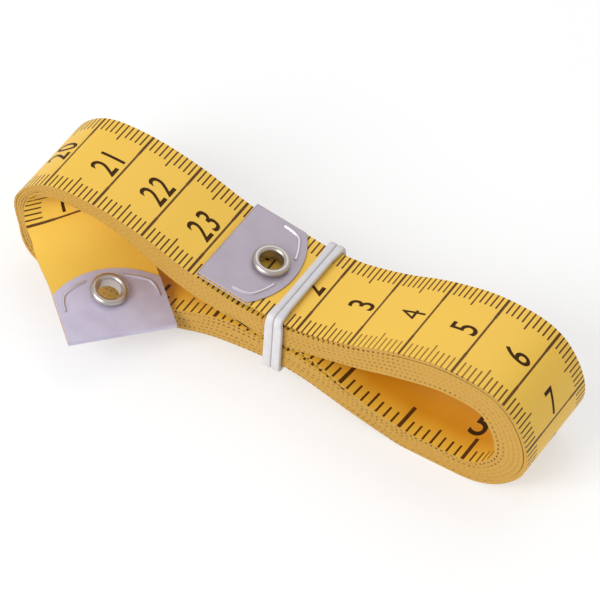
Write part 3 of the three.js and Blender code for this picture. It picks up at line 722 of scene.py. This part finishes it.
def end_clip(name, node, body, metal, end_frame):
    origin, x_axis, y_axis, z_axis = end_frame
    bpy.ops.object.select_all(action="DESELECT")
    clip = bpy.data.objects.new(name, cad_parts[node].data.copy())
    bpy.context.scene.collection.objects.link(clip)
    clip.data.materials.clear()
    clip.data.materials.append(metal)
    clip.select_set(True)
    bpy.context.view_layer.objects.active = clip
    bpy.ops.object.mode_set(mode="EDIT")
    bpy.ops.mesh.select_all(action="SELECT")
    bpy.ops.mesh.remove_doubles(threshold=merge_distance)
    bpy.ops.mesh.dissolve_limited(angle_limit=math.radians(2))
    bpy.ops.object.mode_set(mode="OBJECT")
    soften = clip.modifiers.new("rolled_edges", "BEVEL")
    soften.width = 0.06 * mm
    soften.segments = 2
    soften.limit_method = "ANGLE"
    soften.angle_limit = math.radians(50)
    bpy.ops.object.modifier_apply(modifier=soften.name)
    beads = []
    for path in bead_paths:
        curve = bpy.data.curves.new(name + "_bead", "CURVE")
        curve.dimensions = "3D"
        curve.bevel_depth = 0.3 * mm
        curve.bevel_resolution = 3
        curve.use_fill_caps = True
        curve.materials.append(bead_plate)
        spline = curve.splines.new("POLY")
        spline.points.add(len(path) - 1)
        for point, (x, y) in zip(spline.points, path):
            spot = origin + (x_axis * x + y_axis * y + z_axis * (leaf_top - bead_sunk)) * mm
            point.co = (*spot, 1)
        bead = bpy.data.objects.new(name + "_bead", curve)
        bpy.context.scene.collection.objects.link(bead)
        bpy.ops.object.select_all(action="DESELECT")
        bead.select_set(True)
        bpy.context.view_layer.objects.active = bead
        bpy.ops.object.convert(target="MESH")
        beads.append(bpy.context.object)
    bpy.ops.object.select_all(action="DESELECT")
    for bead in beads:
        bead.select_set(True)
    clip.select_set(True)
    bpy.context.view_layer.objects.active = clip
    bpy.ops.object.join()
    bpy.ops.object.shade_smooth_by_angle(angle=math.radians(35))
    flatten = clip.modifiers.new("flat_leaves", "WEIGHTED_NORMAL")
    flatten.weight = 100
    flatten.keep_sharp = True
    bpy.ops.object.modifier_apply(modifier=flatten.name)
    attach(clip, body)
    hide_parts(node)


end_clip("outer_clip_plate", "outer_end_clip", "outer_end", outer_plate, outer_frame)
end_clip("inner_clip_plate", "inner_end_clip", "inner_end", inner_plate, inner_frame)


# Eyelets: nickel-plated brass tube pushed through clip and tape, its rim rolled over to a round bead on the
# printed side and spread flat on the other. It is drawn and plated, so it is smooth and bright, with faint
# smears.
smear_size = 2 * mm
nickel = bpy.data.materials.new("nickel_plate")
nickel.use_nodes = True
nickel_place = add_node(nickel, "ShaderNodeTexCoord").outputs["Object"]
nickel_smear = add_node(nickel, "ShaderNodeTexNoise", {"Vector": nickel_place, "Scale": 1 / smear_size,
                                                       "Detail": 4.0})
nickel_rough = add_node(nickel, "ShaderNodeMapRange", {"Value": nickel_smear.outputs["Fac"], "To Min": 0.26,
                                                       "To Max": 0.42})
nickel_surface = nickel.node_tree.nodes["Principled BSDF"]
nickel_surface.inputs["Base Color"].default_value = srgb("#C6BDB7")
nickel_surface.inputs["Metallic"].default_value = 1
nickel.node_tree.links.new(nickel_rough.outputs[0], nickel_surface.inputs["Roughness"])

# Section through one side, in millimetres: distance from the axis, and height over the middle of the tape.
bore = 2.0
barrel = 2.25
flange = 3.1
flange_thick = 0.2
eyelet_gap = 0.08
eyelet_seat = leaf_top + eyelet_gap
roll = 0.65
rim = [(bore + roll + roll * math.cos(angle), eyelet_seat + roll + roll * math.sin(angle))
       for angle in np.linspace(-math.pi / 2, math.pi, 15)]
flange_foot = -eyelet_seat - flange_thick
eyelet_profile = [(bore, flange_foot), (flange, flange_foot), (flange, -eyelet_seat),
                  (barrel, -eyelet_seat), (barrel, eyelet_seat)] + rim


def end_eyelet(name, node, body, end_frame):
    origin, x_axis, y_axis, z_axis = end_frame
    mesh = bpy.data.meshes.new(name)
    count = len(eyelet_profile)
    mesh.from_pydata([(r * mm, 0, z * mm) for r, z in eyelet_profile],
                     [(i, (i + 1) % count) for i in range(count)], [])
    eyelet = bpy.data.objects.new(name, mesh)
    bpy.context.scene.collection.objects.link(eyelet)
    bpy.ops.object.select_all(action="DESELECT")
    eyelet.select_set(True)
    bpy.context.view_layer.objects.active = eyelet
    bpy.ops.object.mode_set(mode="EDIT")
    bpy.ops.mesh.select_all(action="SELECT")
    bpy.ops.mesh.spin(steps=56, angle=2 * math.pi, center=(0, 0, 0), axis=(0, 0, 1))
    bpy.ops.mesh.select_all(action="SELECT")
    bpy.ops.mesh.remove_doubles(threshold=merge_distance)
    bpy.ops.mesh.normals_make_consistent(inside=False)
    bpy.ops.object.mode_set(mode="OBJECT")
    turned = Matrix((x_axis, y_axis, z_axis)).transposed().to_4x4()
    eyelet.data.transform(Matrix.Translation(Vector(origin + x_axis * eyelet_inset)) @ turned)
    eyelet.data.materials.append(nickel)
    bpy.ops.object.shade_smooth_by_angle(angle=math.radians(40))
    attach(eyelet, body)
    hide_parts(node)


end_eyelet("outer_rolled_eyelet", "outer_eyelet", "outer_end", outer_frame)
end_eyelet("inner_rolled_eyelet", "inner_eyelet", "inner_end", inner_frame)


# Rubber band: one loop of off-white natural rubber, cut from a dipped tube and wound twice round the waist of
# the hank. Its own stretch holds it, with the two strands side by side on top and crossed underneath. It is
# dusted, so it is matt and a little patchy, and some light goes through it.
dust_size = 1.4286 * mm
rubber = bpy.data.materials.new("white_natural_rubber")
rubber.use_nodes = True
rubber_place = add_node(rubber, "ShaderNodeTexCoord").outputs["Object"]
rubber_dust = add_node(rubber, "ShaderNodeTexNoise", {"Vector": rubber_place, "Scale": 1 / dust_size,
                                                      "Detail": 5.0}).outputs["Fac"]
rubber_shade = add_node(rubber, "ShaderNodeMix", {0: rubber_dust, 6: srgb("#C6C4C7"), 7: srgb("#DAD7D9")},
                        data_type="RGBA")
rubber_bump = add_node(rubber, "ShaderNodeBump", {"Height": rubber_dust, "Strength": 0.1,
                                                  "Distance": 0.03 * mm})
rubber_surface = rubber.node_tree.nodes["Principled BSDF"]
rubber_surface.inputs["Roughness"].default_value = 0.55
rubber_surface.inputs["Subsurface Weight"].default_value = 0.15
rubber_surface.inputs["Subsurface Radius"].default_value = (0.8 * mm, 0.7 * mm, 0.6 * mm)
rubber.node_tree.links.new(rubber_shade.outputs[2], rubber_surface.inputs["Base Color"])
rubber.node_tree.links.new(rubber_bump.outputs[0], rubber_surface.inputs["Normal"])

# The band seats on the outermost turn, high enough to clear it wherever it slides. All in millimetres.
strand_width = 1.65
strand_thick = 1.0
strand_gap = 0.06
band_corner = 0.75
band_crossing = 8.0
crossing_gap = 0.1
band_travel = 3.5
band_gap = 0.08
band_left = waist_x / mm - 1.2
band_right = waist_x / mm + 1.7
band_x = waist_x / mm
band_seat = band_gap + strand_thick / 2
band_swept = (tape_x > band_left) & (tape_x < band_right + band_travel) & (tape_turns < 0.9)
band_side = half_tape + band_seat
band_top = printed_front[band_swept, 2].max() / mm + band_seat
band_bottom = printed_front[band_swept, 2].min() / mm - band_seat

# One lap round the hank, from the middle of its underside: four rounded corners and straight runs between.
lap_step = 0.5
lap_corners = [(0.0, band_bottom)]
for side, upper, start in ((1, False, -0.5), (1, True, 0), (-1, True, 0.5), (-1, False, 1.0)):
    corner_y = side * (band_side - band_corner)
    corner_z = band_top - band_corner if upper else band_bottom + band_corner
    lap_corners += [(corner_y + band_corner * math.cos(angle), corner_z + band_corner * math.sin(angle))
                    for angle in np.linspace(start, start + 0.5, 9) * math.pi]
lap = []
for (y0, z0), (y1, z1) in zip(lap_corners, lap_corners[1:] + lap_corners[:1]):
    steps = max(1, int(math.hypot(y1 - y0, z1 - z0) / lap_step))
    lap += [(y0 + (y1 - y0) * k / steps, z0 + (z1 - z0) * k / steps) for k in range(steps)]
lap = np.array(lap)
lap_at = lengths(np.concatenate([lap, lap[:1]]))
lap_length = lap_at[-1]
heading = np.roll(lap, -1, axis=0) - np.roll(lap, 1, axis=0)
heading /= np.linalg.norm(heading, axis=1)[:, None]

# The strand's section is a rounded oblong. On top the stretched strands are narrower, and under the hank
# one passes below the other.
section = [(strand_width / 2 * math.copysign(abs(math.cos(t)) ** 0.5, math.cos(t)),
            strand_thick / 2 * math.copysign(abs(math.sin(t)) ** 0.5, math.sin(t)))
           for t in np.linspace(0, 2 * math.pi, 16, endpoint=False)]
top_narrowing = 0.27
band_verts = []
for strand in (-1, 1):
    for (y, z), (heading_y, heading_z), at in zip(lap, heading, lap_at):
        from_corner = 1 - 0.5 * ease(abs(y), 6, 9.5)
        narrow = 1 - top_narrowing * ease(z, band_top - 2.5, band_top) * from_corner
        opened = ease(min(at, lap_length - at), 0, band_crossing / 2)
        spread = strand * (strand_width + strand_gap) / 2 * opened * narrow
        crossed = ease(lap_length - at if strand < 0 else at, 0, band_crossing)
        lift = (strand_thick + crossing_gap) * (1 - crossed)
        for wide, thick in section:
            outward = thick + lift
            band_verts.append(((band_x + spread + wide * narrow) * mm, (y + heading_z * outward) * mm,
                               (z - heading_y * outward) * mm))
ring_count, sides = 2 * len(lap), len(section)
band_faces = [(r * sides + i, r * sides + (i + 1) % sides, (r + 1) % ring_count * sides + (i + 1) % sides,
               (r + 1) % ring_count * sides + i) for r in range(ring_count) for i in range(sides)]
band_mesh = bpy.data.meshes.new("rubber_band_loop")
band_mesh.from_pydata(band_verts, [], band_faces)
band_mesh.materials.append(rubber)
band = bpy.data.objects.new("rubber_band_loop", band_mesh)
bpy.context.scene.collection.objects.link(band)
bpy.ops.object.select_all(action="DESELECT")
band.select_set(True)
bpy.context.view_layer.objects.active = band
bpy.ops.object.mode_set(mode="EDIT")
bpy.ops.mesh.select_all(action="SELECT")
bpy.ops.mesh.normals_make_consistent(inside=False)
bpy.ops.object.mode_set(mode="OBJECT")
bpy.ops.object.shade_smooth()
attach(band, "band")
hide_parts("rubber_band")


# Floor, light and camera: a table of white paper in soft studio light, seen from the photograph's side.
# Half of what the camera and mirrors see of the paper is plain white, and the rest keeps the shadow.
bpy.ops.object.select_all(action="DESELECT")
bpy.ops.mesh.primitive_plane_add(size=3)
floor = bpy.context.object
floor.name = "floor"
paper = bpy.data.materials.new("white_paper")
paper.use_nodes = True
paper_surface = paper.node_tree.nodes["Principled BSDF"]
paper_surface.inputs["Base Color"].default_value = srgb("#FFFFFF")
paper_surface.inputs["Roughness"].default_value = 0.9
rays = add_node(paper, "ShaderNodeLightPath").outputs
seen = add_node(paper, "ShaderNodeMath", {0: rays["Is Camera Ray"], 1: rays["Is Glossy Ray"]},
                operation="ADD")
seen = add_node(paper, "ShaderNodeMath", {0: seen.outputs[0], 1: rays["Is Transmission Ray"]},
                operation="ADD", use_clamp=True)
white_share = add_node(paper, "ShaderNodeMath", {0: seen.outputs[0], 1: 0.5}, operation="MULTIPLY")
white = add_node(paper, "ShaderNodeEmission", {"Color": srgb("#FFFFFF"), "Strength": 1.0})
faded = add_node(paper, "ShaderNodeMixShader", {0: white_share.outputs[0], 1: paper_surface.outputs[0],
                                                2: white.outputs[0]})
paper.node_tree.links.new(faded.outputs[0], paper.node_tree.nodes["Material Output"].inputs["Surface"])
floor.data.materials.append(paper)

world = bpy.data.worlds.new("studio")
bpy.context.scene.world = world
world.use_nodes = True
world.node_tree.nodes["Background"].inputs["Color"].default_value = srgb("#FFFFFF")
world.node_tree.nodes["Background"].inputs["Strength"].default_value = 0.62

hank_middle = Vector((-33, 0, 10)) * mm


def soft_lamp(name, place, size, power):
    lamp = bpy.data.objects.new(name, bpy.data.lights.new(name, "AREA"))
    lamp.data.size = size
    lamp.data.energy = power
    lamp.location = place
    lamp.rotation_euler = (hank_middle - Vector(place)).to_track_quat("-Z", "Y").to_euler()
    bpy.context.scene.collection.objects.link(lamp)


soft_lamp("key_lamp", (-0.3, -0.72, 0.55), size=0.5, power=5.6)
soft_lamp("back_lamp", (-0.15, 0.5, 0.75), size=0.6, power=1.0)

# The camera that was fitted to the scale's lines: its place in metres, then its turn, tilt and roll.
camera_place = (0.25476, -0.52478, 0.66325)
camera_turn = math.radians(28.565)
camera_down = math.radians(47.492)
camera_roll = math.radians(4.133)
camera = bpy.data.objects.new("camera", bpy.data.cameras.new("camera"))
camera.data.sensor_width = 36
camera.data.lens = 316.66
camera.data.clip_start = 0.05
camera.data.clip_end = 20
camera.matrix_world = (Matrix.Translation(camera_place) @ Matrix.Rotation(camera_turn, 4, "Z")
                       @ Matrix.Rotation(math.pi / 2 - camera_down, 4, "X")
                       @ Matrix.Rotation(camera_roll, 4, "Z"))
bpy.context.scene.collection.objects.link(camera)
bpy.context.scene.camera = camera
bpy.context.scene.view_settings.view_transform = "Standard"
